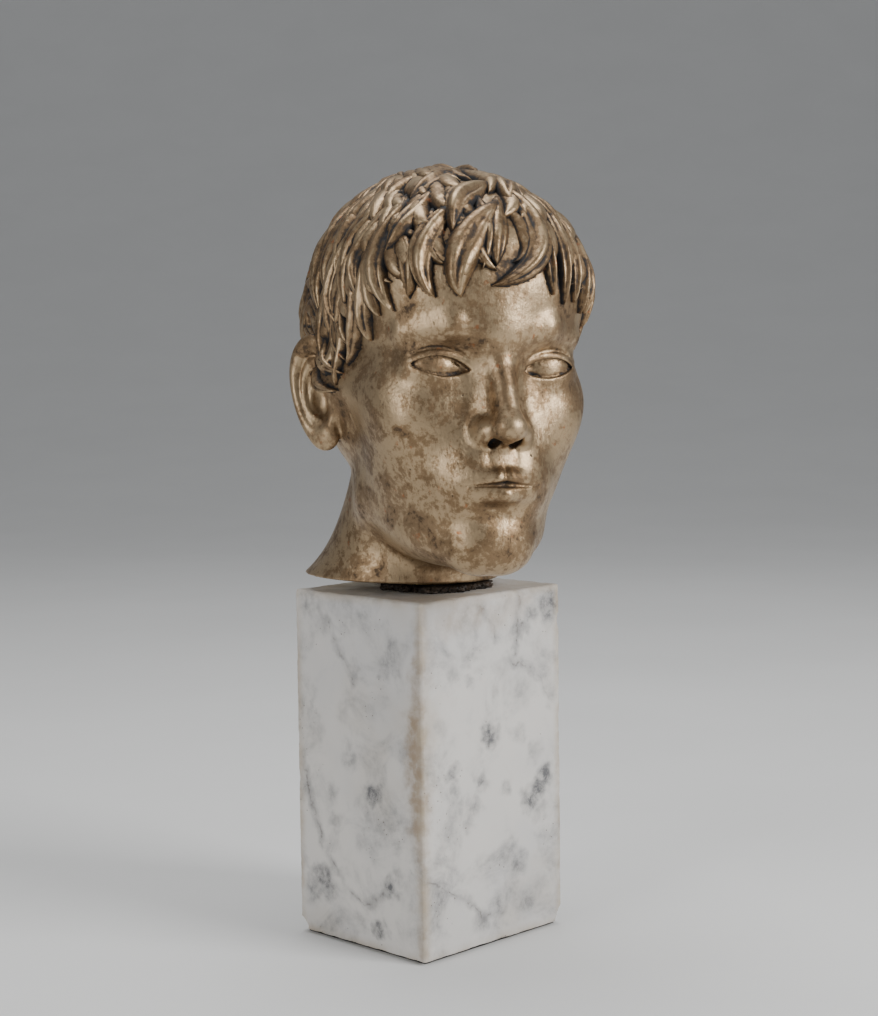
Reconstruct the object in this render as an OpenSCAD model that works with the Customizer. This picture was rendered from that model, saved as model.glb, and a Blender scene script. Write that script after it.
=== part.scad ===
// Cast head on a stone block.
// The head is a thin metal shell over a plaster core. One threaded rod runs from the core,
// through a spacer and the block, to a nut in a recess that a felt sheet covers.
// Frame: +Z up, origin at the middle of the felt's underside, the block's front face at -Y.

/* [Block] */
// Width of the block, across its front face
block_w = 80; // [64:1:110]
// Depth of the block, front to back
block_d = 72; // [60:1:110]
// Height of the block
block_h = 140; // [90:1:220]
// Chamfer along all the block's edges
block_chamfer = 1.6; // [0.5:0.1:4]
// Room all round the rod in the block's bore
bore_room = 1; // [0.5:0.1:2]
// Room all round the washers in the recess under the block
recess_room = 4; // [2:0.5:8]
// Height of empty recess between the felt and the rod's end
recess_spare = 9.4; // [4:0.1:20]

/* [Felt] */
// Thickness of the felt sheet
felt_t = 1; // [0.5:0.1:3]
// How far the felt stays back from the block's faces
felt_inset = 2.5; // [1.8:0.1:8]

/* [Head] */
// Height of the head, from the chin to the top of the hair
head_h = 157; // [120:1:220]
// Width of the head over the hair, without the ears
head_w = 110; // [88:1:150]
// Length of the head, from the forehead to the back of the hair
head_l = 136; // [108:1:190]
// How far the ears stand out from the sides of the head
ear_out = 8; // [4:0.5:14]
// How far the nose stands out from the face
nose_out = 17; // [8:0.5:22]
// Distance of the ears in front of the rod
ear_forward = 15; // [5:1:25]
// Turn of the face from the block's front face, about the rod
face_turn = -26; // [-90:1:90]
// Sideways tilt of the head, towards its left shoulder
head_tilt = 2; // [-6:0.5:6]
// Thickness of the metal
wall = 3; // [2:0.1:5]

/* [Neck] */
// Width of the neck where it is cut off
neck_w = 80; // [60:1:100]
// Length of the neck where it is cut off, front to back
neck_l = 80; // [64:1:104]
// Distance of the middle of the cut behind the rod
neck_back = 12; // [5:1:22]
// Distance of the middle of the cut towards the right shoulder
neck_side = 7; // [0:1:12]
// Height of the chin above the neck's cut
chin_rise = 9; // [5:0.5:20]

/* [Fixing] */
// Diameter of the threaded rod
rod_d = 8; // [6:0.5:9]
// Room between the rod and each hole that fits it closely
thread_gap = 0.1; // [0.05:0.01:0.2]
// Length of rod above the neck's cut
rod_in_head = 58; // [40:1:90]
// Length of rod below the lower nut
rod_tail = 3; // [1:0.5:6]
// Width of the nuts across their flats
nut_flats = 13; // [13:0.5:16]
// Height of each nut
nut_h = 6.5; // [4:0.5:8]
// Side of the square plate that is buried in the core
anchor_w = 34; // [24:1:40]
// Thickness of the plate
anchor_t = 3; // [2:0.5:5]
// Depth of the plate's middle below the rod's top end
anchor_depth = 14; // [10:1:20]
// Diameter of the steel washer
washer_d = 24; // [18:1:27]
// Thickness of the steel washer
washer_t = 1.6; // [1:0.1:3]
// Diameter of the spring washer
spring_d = 14.5; // [13:0.5:18]
// Thickness of the spring washer
spring_t = 2; // [1:0.1:3]
// Width of the slit in the spring washer
spring_slit = 1.5; // [1:0.1:3]
// Thickness of the fibre washer, against the stone
fibre_t = 1.5; // [1:0.1:3]
// Diameter of the spacer between the block and the core
spacer_d = 30; // [22:1:36]
// Height of the spacer, which is the gap under the neck
spacer_h = 4; // [3:0.5:10]
// Width of the band of filler around the spacer
filler_w = 15; // [8:1:17]

/* [Hidden] */

gap = 0.2;            // room around the fixings in the core, and between core and metal up and down
core_gap = 0.6;       // room between the core and the metal, measured level
rod_bore = rod_d + 2 * thread_gap;
nut_corners = nut_flats / cos(30);
block_bore_d = rod_d + 2 * bore_room;
recess_d = max(washer_d, spring_d, nut_corners) + 2 * recess_room;
recess_depth = fibre_t + washer_t + spring_t + nut_h + rod_tail + recess_spare;
block_top = felt_t + block_h;
neck_z = block_top + spacer_h;
chin_z = neck_z + chin_rise;
crown_z = chin_z + head_h;
recess_top = felt_t + recess_depth;
fibre_z = recess_top - fibre_t;
washer_z = fibre_z - washer_t;
spring_z = washer_z - spring_t;
nut_z = spring_z - nut_h;
rod_z = nut_z - rod_tail;
rod_top = neck_z + rod_in_head;
anchor_z = rod_top - anchor_depth - anchor_t / 2;

sectors = 72;         // points around each ring of the head
face_focus = 24;      // how far the points of a ring are drawn towards the face, in degrees
outer_rings = 42;     // rings of the outer surface, from the neck's cut to the crown
inner_rings = 15;     // rings of the inner surface
stone = "gainsboro";
bronze = [0.55, 0.45, 0.32];
steel = "silver";

// Stations up the head, each [height, front, back, half width, squareness of the front].
// Height is a share of head_h above the chin, front and back are shares of head_l from the
// ears, and half width is a share of head_w / 2.
STATIONS = [
    [0.00, 0.20, 0.43, 0.72, 2.0],
    [0.02, 0.40, 0.41, 0.66, 1.9],
    [0.08, 0.45, 0.39, 0.68, 1.8],
    [0.20, 0.47, 0.36, 0.80, 2.1],
    [0.33, 0.47, 0.38, 0.88, 2.2],
    [0.45, 0.46, 0.45, 0.92, 2.3],
    [0.55, 0.48, 0.50, 0.96, 2.3],
    [0.65, 0.50, 0.52, 1.00, 2.2],
    [0.78, 0.49, 0.51, 1.00, 2.1],
    [0.88, 0.40, 0.43, 0.85, 2.0],
    [0.95, 0.26, 0.31, 0.59, 2.0],
    [0.99, 0.11, 0.16, 0.26, 2.0]
];
nose_share = 0.33;    // height of the tip of the nose
eye_share = 0.50;     // height of the eyes
eye_angle = 23;       // angle between the middle of the face and each eye, from the ears' axis
jaw_fade = 0.25;      // share of head_h over which an inset surface moves up
neck_fade = 0.3;      // share of head_h over which the head is off the middle of the neck's cut

// Catmull-Rom interpolation of one column of a table, at a place between its rows
function row(table, i) = table[max(0, min(len(table) - 1, i))];
function blend_of(a, b, c, d, f) =
    b + 0.5 * f * (c - a + f * (2 * a - 5 * b + 4 * c - d + f * (3 * (b - c) + d - a)));
function column(table, col, at) =
    let (i = floor(at))
    blend_of(row(table, i - 1)[col], row(table, i)[col], row(table, i + 1)[col],
             row(table, i + 2)[col], at - i);

function bell(x, middle, spread) = exp(-pow((x - middle) / spread, 2));
function superellipse(angle, power) =
    pow(pow(abs(cos(angle)), power) + pow(abs(sin(angle)), power), -1 / power);

// Relief of a plain face of common proportions, at an angle from the face's direction and a share
// of the height: how far each feature stands out, or in where it is negative
function nose(angle, share) =
    nose_out * bell(angle, 0, 7 + 20 * max(0, nose_share + 0.04 - share))
    * bell(share, nose_share, share < nose_share ? 0.04 : 0.14);
function eye(angle, share) =
    -5 * bell(abs(angle), eye_angle, 12) * bell(share, eye_share, 0.06)
    + 3 * bell(abs(angle), eye_angle, 7) * bell(share, eye_share, 0.035);
function brow(angle, share) = 3 * bell(abs(angle), eye_angle, 17) * bell(share, eye_share + 0.09, 0.03);
function lips(angle, share) =
    4 * bell(angle, 0, 13) * (bell(share, 0.225, 0.02) + bell(share, 0.18, 0.02));
function chin(angle, share) = 5 * bell(angle, 0, 14) * bell(share, 0.06, 0.06);
function ear(angle, share) = ear_out * bell(abs(angle), 97, 9) * bell(share, 0.42, 0.13);
function relief(angle, share) =
    nose(angle, share) + eye(angle, share) + brow(angle, share) + lips(angle, share)
    + chin(angle, share) + ear(angle, share);

// How much of an inset is upwards at a share of the head's height. An inset surface moves up
// under the jaw and down under the crown, where it lies flat.
function upward(share) = max(0, 1 - share / jaw_fade) - max(0, share - 0.5) * 2;
// A point of the head at a station and an angle, before the turn and the tilt, with the surface
// moved in by an inset. Angle 0 is the face's direction and positive angles go to the left ear.
function above_neck(at, angle, inset) =
    let (share = column(STATIONS, 0, at),
         long = head_l * (abs(angle) < 90 ? column(STATIONS, 1, at) : column(STATIONS, 2, at)),
         wide = head_w / 2 * column(STATIONS, 3, at),
         power = abs(angle) < 90 ? column(STATIONS, 4, at) : 2,
         bump = inset > 0 ? 0 : relief(angle, share),
         reach = superellipse(angle, power),
         stretch = 1 + (bump - inset) / (reach * norm([wide * sin(angle), long * cos(angle)])))
    [wide * reach * stretch * sin(angle) - neck_side * max(0, 1 - share / neck_fade),
     -ear_forward - long * reach * stretch * cos(angle),
     chin_z + head_h * share + min(inset, wall + gap) * upward(share)];
function neck_cut(angle, inset, z) =
    [-neck_side + (neck_w / 2 - inset) * sin(angle), neck_back - (neck_l / 2 - inset) * cos(angle), z];

// Every ring has the same angles, which lie closer together over the face
function angle_at(i) = let (a = -180 + 360 * i / sectors) a - face_focus * sin(a);
function outer_ring(k) =
    let (at = k * (len(STATIONS) - 1) / outer_rings)
    [for (i = [0:sectors - 1]) above_neck(at, angle_at(i), 0)];
// The inner surface leaves out the hollow under the jaw: it is the least of the outer radii
// nearby, less the wall.
function reach_of(p) = norm([p[0], p[1] + ear_forward]);
function least(at, angle, inset) =
    let (last = len(STATIONS) - 1,
         radii = [for (d = [-0.6:0.3:0.6]) reach_of(above_neck(max(0, min(last, at + d)), angle, inset))],
         own = above_neck(at, angle, inset),
         share = min(radii) / reach_of(own))
    [own[0] * share, -ear_forward + (own[1] + ear_forward) * share, own[2]];
function inner_ring(k, inset) =
    let (at = k * (len(STATIONS) - 1.35) / inner_rings)
    [for (i = [0:sectors - 1]) least(at, angle_at(i), inset)];
function cut_ring(inset, z) = [for (i = [0:sectors - 1]) neck_cut(angle_at(i), inset, z)];

function flat(list) = [for (l = list) for (p = l) p];
// Faces between ring a and ring a + 1 of a stack, and between the last ring and one point
function band(a) =
    [for (i = [0:sectors - 1])
        let (j = (i + 1) % sectors, lo = a * sectors, hi = (a + 1) * sectors)
        each [[lo + i, hi + i, hi + j], [lo + i, hi + j, lo + j]]];
function fan(a, tip) =
    [for (i = [0:sectors - 1]) [a * sectors + i, tip, a * sectors + (i + 1) % sectors]];
function turned_over(faces) = [for (f = faces) [f[2], f[1], f[0]]];
function inner_top(inset) = crown_z - 1.4 * inset;
function floor_fan(tip) = [for (i = [0:sectors - 1]) [(i + 1) % sectors, tip, i]];

module place_head() {
    translate([0, 0, neck_z]) rotate([0, 0, face_turn]) rotate([0, head_tilt, 0])
        translate([0, 0, -neck_z]) children();
}

module tube(outer_d, inner_d, h) {
    difference() {
        cylinder(d = outer_d, h = h, $fn = 72);
        translate([0, 0, -1]) cylinder(d = inner_d, h = h + 2, $fn = 48);
    }
}

// A hexagon nut with its corners turned down at both ends
module nut() {
    turned = (nut_corners - nut_flats) / 2;
    difference() {
        intersection() {
            cylinder(d = nut_corners, h = nut_h, $fn = 6);
            rotate_extrude($fn = 72) polygon([
                [0, 0], [nut_flats / 2, 0], [nut_corners / 2, turned / 2],
                [nut_corners / 2, nut_h - turned / 2], [nut_flats / 2, nut_h], [0, nut_h]
            ]);
        }
        translate([0, 0, -1]) cylinder(d = rod_bore, h = nut_h + 2, $fn = 48);
    }
}

module marble_block() {
    c = block_chamfer;
    color(stone) difference() {
        translate([0, 0, felt_t]) hull() {
            for (cut = [[c, c, 0], [0, c, c], [c, 0, c]])
                translate(cut - [block_w / 2, block_d / 2, 0])
                    cube([block_w, block_d, block_h] - 2 * cut);
        }
        cylinder(d = block_bore_d, h = block_top + 1, $fn = 48);
        translate([0, 0, -1]) cylinder(d = recess_d, h = recess_top + 1, $fn = 72);
    }
}

module felt_sheet() {
    w = block_w - 2 * felt_inset;
    d = block_d - 2 * felt_inset;
    color("darkslategray") translate([-w / 2, -d / 2, 0]) cube([w, d, felt_t]);
}

// The shell is one closed skin: up the outside to the crown, and down the inside to the neck
module head_casting() {
    outer = concat([cut_ring(0, neck_z)], [for (k = [0:outer_rings - 1]) outer_ring(k)]);
    inner = concat([cut_ring(wall, neck_z)], [for (k = [1:inner_rings]) inner_ring(k, wall)]);
    n = len(outer);
    m = len(inner);
    tip = (n + m) * sectors;
    points = concat(flat(outer), flat(inner),
                    [[0, -ear_forward, crown_z], [0, -ear_forward, inner_top(wall)]]);
    faces = concat(
        [for (a = [0:n - 2]) each band(a)], fan(n - 1, tip),
        [for (a = [n:n + m - 2]) each turned_over(band(a))], turned_over(fan(n + m - 1, tip + 1)),
        [for (i = [0:sectors - 1])
            let (j = (i + 1) % sectors, r = n * sectors)
            each [[i, j, r + j], [i, r + j, r + i]]]);
    color(bronze) place_head() polyhedron(points, faces, convexity = 6);
}

// The core stands on the spacer on a flat round foot, because the head is tilted
module plaster_core() {
    skin = wall + core_gap;
    rings = concat([cut_ring(skin, neck_z + gap)], [for (k = [1:inner_rings]) inner_ring(k, skin)]);
    n = len(rings);
    points = concat(flat(rings),
                    [[0, -ear_forward, inner_top(skin)], [-neck_side, neck_back, neck_z + gap]]);
    faces = concat([for (a = [0:n - 2]) each band(a)], fan(n - 1, n * sectors), floor_fan(n * sectors + 1));
    color("antiquewhite") difference() {
        union() {
            place_head() polyhedron(points, faces, convexity = 4);
            translate([0, 0, neck_z]) cylinder(d = spacer_d, h = wall, $fn = 72);
        }
        translate([-head_w, -head_w, 0]) cube([2 * head_w, 2 * head_w, neck_z]);
        cylinder(d = rod_bore, h = rod_top + gap, $fn = 48);
        translate([0, 0, anchor_z + anchor_t / 2]) {
            cube([anchor_w + 2 * gap, anchor_w + 2 * gap, anchor_t + 2 * gap], center = true);
            cylinder(d = nut_corners + 2 * gap, h = anchor_t + 2 * nut_h + 2 * gap,
                     center = true, $fn = 48);
        }
    }
}

module neck_filler() {
    filler_d = spacer_d + 2 * filler_w;
    color("saddlebrown") translate([0, 0, block_top])
        tube(filler_d, spacer_d + 2 * gap, spacer_h - gap - filler_d / 2 * abs(tan(head_tilt)));
}

module spacer() {
    color("goldenrod") translate([0, 0, block_top]) tube(spacer_d, rod_bore, spacer_h);
}

module threaded_rod() {
    end = rod_d / 10;
    h = rod_top - rod_z;
    color(steel) translate([0, 0, rod_z]) rotate_extrude($fn = 48) polygon([
        [0, 0], [rod_d / 2 - end, 0], [rod_d / 2, end], [rod_d / 2, h - end], [rod_d / 2 - end, h], [0, h]
    ]);
}

module anchor_plate() {
    color(steel) difference() {
        translate([-anchor_w / 2, -anchor_w / 2, anchor_z]) cube([anchor_w, anchor_w, anchor_t]);
        translate([0, 0, anchor_z - 1]) cylinder(d = rod_bore, h = anchor_t + 2, $fn = 48);
    }
}

module anchor_nuts() {
    color(steel) for (z = [anchor_z - nut_h, anchor_z + anchor_t]) translate([0, 0, z]) nut();
}

module fibre_washer() {
    color("firebrick") translate([0, 0, fibre_z]) tube(washer_d, rod_bore, fibre_t);
}

module steel_washer() {
    color(steel) translate([0, 0, washer_z]) tube(washer_d, rod_bore, washer_t);
}

module spring_washer() {
    color(steel) translate([0, 0, spring_z]) difference() {
        tube(spring_d, rod_bore, spring_t);
        translate([0, -spring_slit / 2, -1]) cube([spring_d, spring_slit, spring_t + 2]);
    }
}

module clamp_nut() {
    color(steel) translate([0, 0, nut_z]) nut();
}

marble_block();
felt_sheet();
head_casting();
plaster_core();
neck_filler();
spacer();
threaded_rod();
anchor_plate();
anchor_nuts();
fibre_washer();
steel_washer();
spring_washer();
clamp_nut();
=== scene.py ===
import math

import bmesh
import bpy
import numpy as np
import openvdb
from mathutils import Matrix, Vector
from mathutils.bvhtree import BVHTree


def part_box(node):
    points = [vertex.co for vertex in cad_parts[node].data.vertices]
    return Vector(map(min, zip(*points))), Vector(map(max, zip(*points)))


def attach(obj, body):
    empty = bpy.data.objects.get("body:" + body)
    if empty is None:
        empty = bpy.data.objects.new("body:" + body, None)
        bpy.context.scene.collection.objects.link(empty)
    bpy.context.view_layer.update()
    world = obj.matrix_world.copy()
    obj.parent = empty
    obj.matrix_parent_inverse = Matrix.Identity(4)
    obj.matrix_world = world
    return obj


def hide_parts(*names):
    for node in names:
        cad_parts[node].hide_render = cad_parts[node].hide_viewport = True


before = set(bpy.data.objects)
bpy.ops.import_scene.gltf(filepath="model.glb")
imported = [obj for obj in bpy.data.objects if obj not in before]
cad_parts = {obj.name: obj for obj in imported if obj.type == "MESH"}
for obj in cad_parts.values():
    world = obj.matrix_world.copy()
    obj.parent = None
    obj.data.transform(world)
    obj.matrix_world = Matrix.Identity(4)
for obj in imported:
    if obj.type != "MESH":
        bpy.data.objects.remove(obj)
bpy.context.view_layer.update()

MM = 0.001
BLOCK_LOW, BLOCK_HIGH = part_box("marble_block")
FELT_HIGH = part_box("felt_sheet")[1]
SPACER_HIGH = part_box("spacer")[1]
ROD_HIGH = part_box("threaded_rod")[1]
HEAD_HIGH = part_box("head_casting")[1]
WASHER_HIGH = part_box("steel_washer")[1]

# ---------------------------------------------------------------- the head's own place
HEAD_TURN = math.radians(-26)     # turn of the face about the rod
HEAD_TILT = math.radians(2)       # sideways tilt, about the level of the neck's cut
EARS_FORWARD = 15 * MM            # ears in front of the rod
CHIN_RISE = 9 * MM                # chin above the neck's cut
NECK_LEVEL = SPACER_HIGH.z
CHIN_LEVEL = NECK_LEVEL + CHIN_RISE
LIFE_HEIGHT = 232.0               # chin to hair of a life-size head, in mm
LIFE = (HEAD_HIGH.z - CHIN_LEVEL) / LIFE_HEIGHT
NECK_CUT = -CHIN_RISE / LIFE      # the neck's cut, in life-size mm from the chin
WALL = 3 * MM / LIFE
TURN = (Matrix.Translation((0, 0, NECK_LEVEL)) @ Matrix.Rotation(HEAD_TURN, 4, "Z")
        @ Matrix.Rotation(HEAD_TILT, 4, "Y") @ Matrix.Translation((0, 0, -NECK_LEVEL)))


def placed(points):
    """Life-size sculpting points, moved to the casting's place and size in the row frame."""
    own = points * LIFE + np.array([0, -EARS_FORWARD, CHIN_LEVEL])
    turn = np.array(TURN)
    return own @ turn[:3, :3].T + turn[:3, 3]


# ---------------------------------------------------------------- forms for sculpting, life-size mm
def egg(p, middle, radii):
    q = p - np.array(middle, np.float32)
    r = np.array(radii, np.float32)
    outer = np.linalg.norm(q / r, axis=1)
    inner = np.linalg.norm(q / (r * r), axis=1)
    return outer * (outer - 1) / np.maximum(inner, 1e-5)


def limb(p, start, end, r0, r1):
    a = np.array(start, np.float32)
    d = np.array(end, np.float32) - a
    along = np.clip((p - a) @ d / (d @ d), 0, 1)
    return np.linalg.norm(p - a - along[:, None] * d, axis=1) - (r0 + (r1 - r0) * along)


def join(a, b, soft):
    h = np.clip(0.5 + 0.5 * (b - a) / soft, 0, 1)
    return b + (a - b) * h - soft * h * (1 - h)


def carve(a, b, soft):
    return -join(-a, b, soft)


def score(d, trough, depth, soft):
    """A groove cut to a depth below the surface wherever trough is negative."""
    return carve(d, np.maximum(trough, -depth - d), soft)


def both_sides(p):
    q = p.copy()
    q[:, 0] = np.abs(q[:, 0])
    return q


def neck_form(p):
    t = np.clip((75 - p[:, 2]) / (75 - NECK_CUT), 0, 1.1) ** 1.6
    flare = 47 + 3 * t + 9 * t ** 4
    across = np.hypot(p[:, 0] + 10.3 * t, p[:, 1] - 10 - 30 * t)
    return -join(-(across - flare) * 0.85, 104 - p[:, 2], 24)


def scalp(p):
    """The head without features, which the hair also grows on."""
    s = both_sides(p)
    d = egg(p, (0, 2, 148), (74, 95, 76))
    d = join(d, egg(p, (0, 36, 128), (66, 60, 58)), 20)
    d = join(d, neck_form(p), 16)
    d = join(d, egg(p, (0, -40, 92), (57, 50, 78)), 16)
    d = join(d, egg(s, (49, 6, 95), (20, 28, 36)), 20)
    d = join(d, egg(p, (0, -34, 58), (51, 50, 44)), 22)
    d = join(d, limb(s, (40, -10, 36), (12, -78, 14), 12, 12), 20)
    d = join(d, egg(p, (0, -42, 20), (40, 46, 19)), 14)
    d = join(d, egg(p, (0, -52, 158), (56, 41, 44)), 26)
    return carve(d, egg(s, (93, -50, 138), (16, 34, 30)), 24)


def cheeks(d, p, s):
    d = join(d, egg(p, (0, -64, 54), (35, 37, 33)), 18)
    d = join(d, egg(s, (39, -56, 88), (21, 24, 22)), 22)
    d = join(d, limb(s, (47, -50, 97), (64, -8, 104), 6.5, 6.5), 22)
    d = join(d, egg(p, (0, -82, 15), (17, 14, 15)), 14)
    return carve(d, egg(s, (86, -64, 56), (16, 24, 26)), 26)


def brows(d, p, s):
    d = join(d, limb(s, (8, -88, 129.5), (27, -87, 135), 6, 6), 8)
    d = join(d, limb(s, (27, -87, 135), (49, -70.5, 130), 6, 4.2), 8)
    d = join(d, egg(p, (0, -88, 133), (12, 9, 12)), 12)
    return carve(d, egg(s, (31, -100, 114), (19, 14.5, 11.5)), 8)


EYE = np.array([31.5, -69, 112], np.float32)
EYE_RADII = (17.6, 15.2, 15.2)


def eyes(d, s):
    """An eyeball between two lids, with a soft fold over the upper lid."""
    u = (s[:, 0] - EYE[0]) / 16
    bow = np.clip(1 - u * u, 0, 1)
    upper = EYE[2] + 1.2 * u + 6.2 * bow ** 0.8
    lower = EYE[2] + 1.2 * u - 4.6 * bow
    ball = egg(s, EYE, EYE_RADII)
    d = join(d, ball - 2.3, 5)
    fold = np.abs(s[:, 2] - upper - 4.4) - 0.5 + 4 * np.maximum(np.abs(u) - 0.7, 0)
    d = score(d, np.maximum(fold, s[:, 1] + 60), 0.9, 2.2)
    slit = np.maximum(np.maximum(s[:, 2] - upper, lower - s[:, 2]), -0.6 - ball)
    slit = np.maximum(slit, s[:, 1] + 60) + 5 * np.maximum(np.abs(u) - 0.96, 0)
    d = carve(d, slit, 0.9)
    d = join(d, ball, 0.6)
    return join(d, egg(s, (18.8, -76.5, 111.4), (6, 6, 3.4)), 2.5)


def nose(d, p, s):
    d = join(d, limb(p, (0, -84, 118), (0, -87, 80), 8, 14), 9)
    d = join(d, limb(p, (0, -88, 122), (0, -106, 82), 6, 7.5), 6)
    d = join(d, egg(p, (0, -106.5, 79.5), (9.5, 9.5, 8)), 6)
    d = join(d, egg(s, (10.4, -95.5, 77.5), (6.2, 9.5, 7.2)), 5)
    d = join(d, limb(p, (0, -105, 75), (0, -95, 72), 3.4, 4.2), 5)
    return carve(d, egg(s, (6.4, -100.2, 74.2), (2.7, 4.6, 4.2)), 1.2)


def mouth(d, p, s):
    """Closed lips with a line between them, and the groove from the nose down to them."""
    d = join(d, egg(p, (0, -80, 50), (30, 17, 20)), 10)
    d = join(d, limb(s, (3.4, -101.8, 54.0), (21, -92.8, 50.6), 5.2, 2.4), 5)
    d = join(d, limb(s, (0, -101.0, 43.2), (15, -94.6, 45.4), 6.0, 3.2), 6)
    line = 48.9 + 0.7 * np.cos(np.pi * p[:, 0] / 26)
    meeting = np.abs(p[:, 2] - line) - 0.7 + 1.6 * (p[:, 0] / 25) ** 4
    d = score(d, np.maximum(meeting, p[:, 1] + 70), 1.3 * np.clip(1.1 - (p[:, 0] / 25) ** 2, 0.1, 1), 1.6)
    groove = 2 * (np.hypot(p[:, 0] / 5, (p[:, 2] - 64) / 6) - 1)
    d = score(d, np.maximum(groove, p[:, 1] + 70), 0.3, 6)
    return carve(d, egg(p, (0, -105, 33.5), (17, 8, 4.5)), 8)


def ears(d, s):
    flare = math.radians(38)
    q = s - np.array([74, 6, 97], np.float32)
    back = q[:, 0] * math.sin(flare) + q[:, 1] * math.cos(flare)
    out = q[:, 0] * math.cos(flare) - q[:, 1] * math.sin(flare)
    up = q[:, 2] + 0.12 * back
    back = back - 0.14 * up
    wide = 16 * (1 + 0.2 * up / 30)
    ring = np.hypot(back / wide, up / 31)
    rim = np.hypot((ring - 0.88) * 17, out - 2.6) - 3.2
    plate = np.maximum(np.abs(out + 0.6) - 1.8, (ring - 0.9) * 17)
    ear = join(plate, rim, 1.4)
    inner = np.hypot((np.hypot((back - 1) / 8.4, (up + 1) / 17) - 1) * 9, out - 1.6) - 2.3
    inner = np.maximum(inner, -2 - back)
    ear = join(ear, inner, 1.4)
    local = np.stack([back, up, out], axis=1)
    ear = join(ear, egg(local, (-3, -26, 0.5), (8, 8.5, 3.8)), 4)
    ear = join(ear, egg(local, (-11, -5, 1.5), (4, 6, 3.4)), 3)
    ear = join(ear, egg(local, (-3, -5, -4), (10, 14, 7)), 3)
    shell = egg(local, (-1.5, -5, 3.0), (6.6, 11, 6.6))
    return carve(join(d, ear, 3), shell, 1.6)


def face(p):
    s = both_sides(p)
    d = cheeks(scalp(p), p, s)
    d = brows(d, p, s)
    d = nose(d, p, s)
    d = eyes(d, s)
    d = mouth(d, p, s)
    return ears(d, s)


def casting(p):
    """The outside of the casting, cut off square at the neck."""
    return -join(-face(p), p[:, 2] - NECK_CUT, 1.5)


# ---------------------------------------------------------------- from forms to meshes
LOW = np.array([-96, -126, -20], float)
HIGH = np.array([96, 112, 236], float)


def skin_of(form, cell, near=6):
    """The surface of a form, as points and quads. Only the cells near the surface are worked out."""
    coarse = cell * near
    counts = np.ceil((HIGH - LOW) / coarse).astype(int) + 1
    grid = np.stack(np.meshgrid(*[np.arange(n) for n in counts], indexing="ij"), -1).reshape(-1, 3)
    centres = (LOW + (grid + 0.5) * coarse).astype(np.float32)
    rough = form(centres)
    close = np.abs(rough) < coarse * 1.35
    field = np.repeat(np.repeat(np.repeat(rough.reshape(counts), near, 0), near, 1), near, 2)
    field = field.astype(np.float32)
    step = np.stack(np.meshgrid(*[np.arange(near)] * 3, indexing="ij"), -1).reshape(-1, 3)
    cells = (grid[close][:, None, :] * near + step[None]).reshape(-1, 3)
    for part in np.array_split(np.arange(len(cells)), max(1, len(cells) // 400000)):
        at = cells[part]
        field[at[:, 0], at[:, 1], at[:, 2]] = form((LOW + at * cell).astype(np.float32))
    volume = openvdb.FloatGrid(background=float(coarse))
    volume.copyFromArray(np.ascontiguousarray(field))
    points, quads = volume.convertToQuads(isovalue=0.0)
    points = settled(LOW + np.asarray(points, float) * cell, form, 2)
    return points, np.asarray(quads)


def slope_of(p, form, d, h=0.4):
    p = p.astype(np.float32)
    g = np.stack([form(p + np.eye(3, dtype=np.float32)[a] * h) - d for a in range(3)], 1) / h
    return g / np.maximum(np.linalg.norm(g, axis=1, keepdims=True), 1e-6), np.linalg.norm(g, axis=1)


def settled(p, form, rounds):
    """Points moved onto a form's surface."""
    for _ in range(rounds):
        d = form(p.astype(np.float32))
        n, steep = slope_of(p, form, d)
        p = p - n * np.clip(d / np.maximum(steep, 0.4), -2, 2)[:, None]
    return p


def piece(name, points, faces, smooth=True):
    mesh = bpy.data.meshes.new(name)
    mesh.from_pydata(points.tolist() if hasattr(points, "tolist") else points, [], [list(f) for f in faces])
    mesh.validate()
    made = bpy.data.objects.new(name, mesh)
    bpy.context.scene.collection.objects.link(made)
    if smooth:
        mesh.shade_smooth()
    return made


# ---------------------------------------------------------------- hair, grown in locks on the scalp
LOCK_ROWS = 18                            # points along a lock
LOCK_ACROSS = 15                          # points across a lock
SKULL = np.array([0, 6, 140], float)
SKULL_RADII = np.array([78, 98, 88], float)
CROWN_BACK = math.radians(24)             # how far behind the top of the head the crown lies
# The hairline on one side, in life-size mm: forehead, temple, sideburn, round the ear, nape
HAIRLINE = [(0, -94, 158), (30, -88, 156), (52, -68, 149), (62, -46, 137), (68, -32, 120), (72, -22, 96),
            (74, -15, 90), (76, -9, 104), (76, 2, 132), (76, 20, 130), (72, 34, 108), (66, 48, 80),
            (48, 64, 62), (22, 72, 56), (0, 74, 54)]


def unit(v):
    return v / np.maximum(np.linalg.norm(v, axis=-1, keepdims=True), 1e-9)


def head_under_hair(p):
    return cheeks(scalp(p), p, both_sides(p))


def on_scalp(p, rounds=2):
    """Points moved onto the scalp, with the scalp's normals there."""
    shape = p.shape
    q = settled(p.reshape(-1, 3), head_under_hair, rounds)
    n, _ = slope_of(q, head_under_hair, head_under_hair(q.astype(np.float32)))
    return q.reshape(shape), n.reshape(shape)


def round_and_down(p):
    """The angle round the crown, 0 at the forehead, and the angle down from it, in degrees."""
    q = unit((p - SKULL) / SKULL_RADII)
    level = q[..., 1] * math.cos(CROWN_BACK) - q[..., 2] * math.sin(CROWN_BACK)
    high = q[..., 1] * math.sin(CROWN_BACK) + q[..., 2] * math.cos(CROWN_BACK)
    return np.degrees(np.arctan2(q[..., 0], -level)), np.degrees(np.arccos(np.clip(high, -1, 1)))


def root_at(angle, down):
    a, b = np.radians(angle), np.radians(down)
    level, high = -np.sin(b) * np.cos(a), np.cos(b)
    q = np.stack([np.sin(b) * np.sin(a), level * math.cos(CROWN_BACK) + high * math.sin(CROWN_BACK),
                  high * math.cos(CROWN_BACK) - level * math.sin(CROWN_BACK)], -1)
    return SKULL + q * SKULL_RADII


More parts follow.
